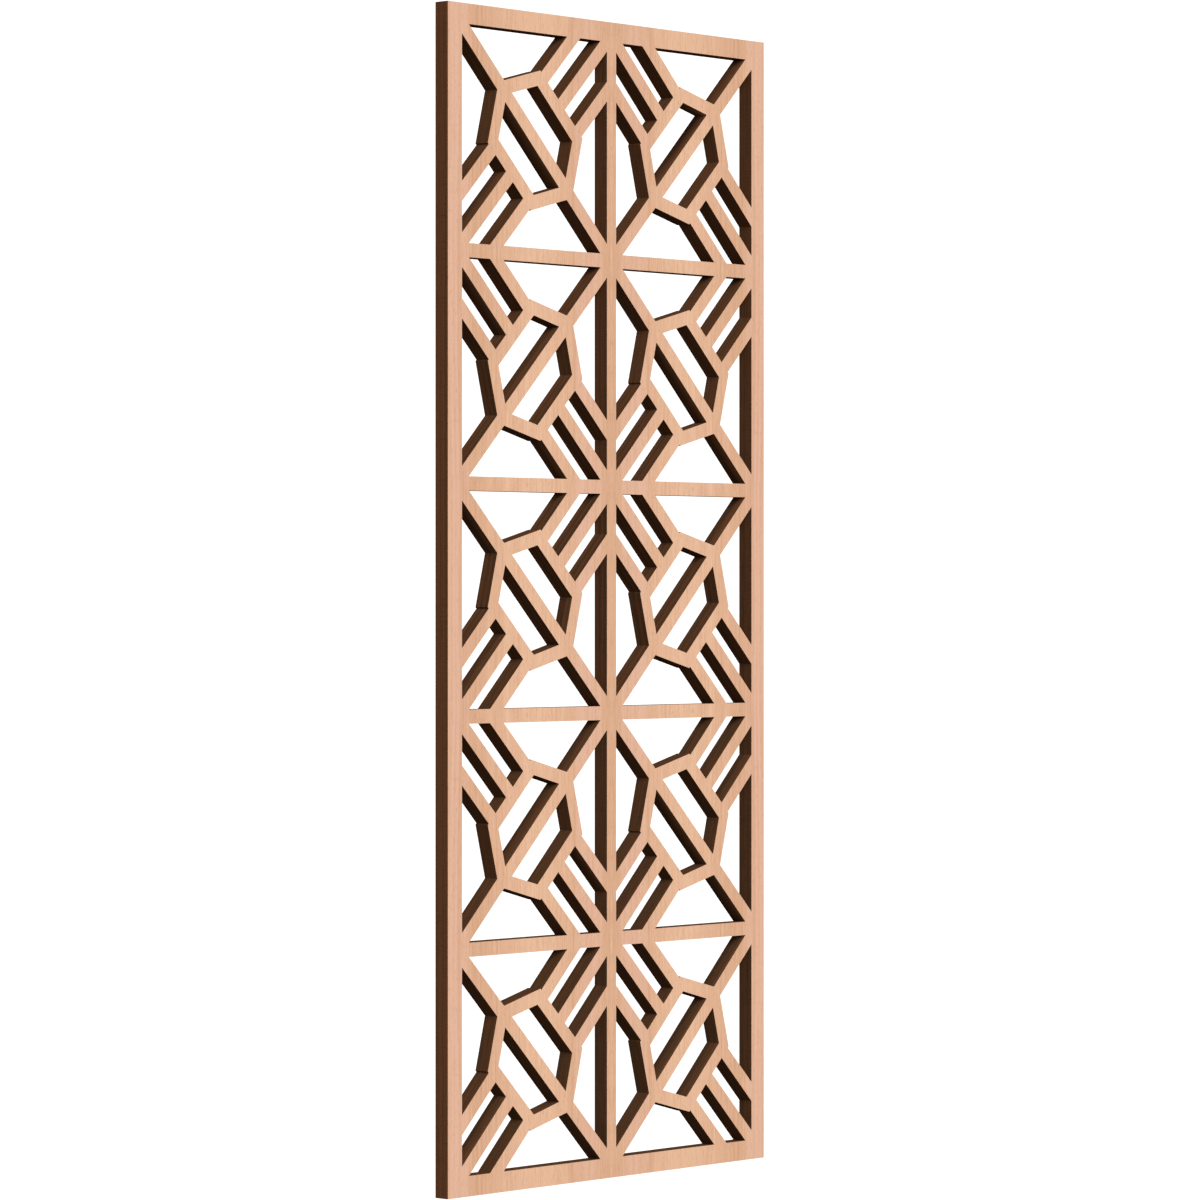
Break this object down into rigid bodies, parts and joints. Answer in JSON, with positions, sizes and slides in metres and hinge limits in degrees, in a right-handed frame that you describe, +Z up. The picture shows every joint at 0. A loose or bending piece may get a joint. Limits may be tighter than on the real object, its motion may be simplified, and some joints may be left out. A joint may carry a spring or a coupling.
{
  "type": "fretwork wall panel",
  "caption": "Tall pierced wood panel: square openings in a framework, each with a diagonal bar, a long hexagon around it and slanting stripes.",
  "frame": {"origin": "middle of the flat back face, on the central mullion, where the panel meets the wall", "axes": "+X to the right seen from the front, +Y back into the wall, +Z up along the panel's height"},
  "size_m": [0.289, 0.01, 0.6988],
  "materials": {
    "wood": "satin, straight-grained pale veneer with dark brown cut edges"
  },
  "bodies": {
    "root": {"fretwork_panel": "wood"}
  },
  "joints": []
}
